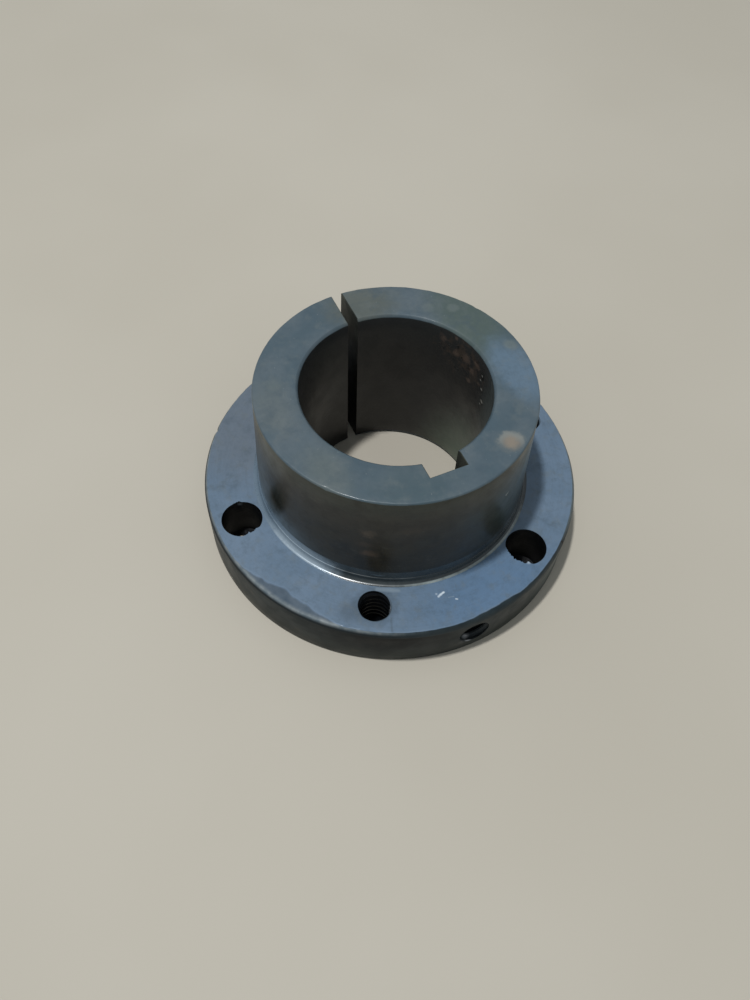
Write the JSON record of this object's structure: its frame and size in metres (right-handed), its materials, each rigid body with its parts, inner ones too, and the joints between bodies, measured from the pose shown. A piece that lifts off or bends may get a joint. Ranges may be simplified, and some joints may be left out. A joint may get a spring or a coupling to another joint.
{
  "type": "flanged split taper bush",
  "caption": "Flanged split taper bush with a keyed bore, used to clamp a pulley or sprocket hub onto a shaft.",
  "frame": {"origin": "centre of the flange's flat face, on the bore's axis", "axes": "+Z along the bore towards the barrel's small end, +X through the keyway and the set-screw hole, slot on -X"},
  "size_m": [0.0674, 0.0674, 0.0318],
  "materials": {
    "bush": "machined, darkened by an oiled phosphate coat, with light rust in the bore"
  },
  "bodies": {
    "root": {"taper_bush": "bush"}
  },
  "joints": []
}
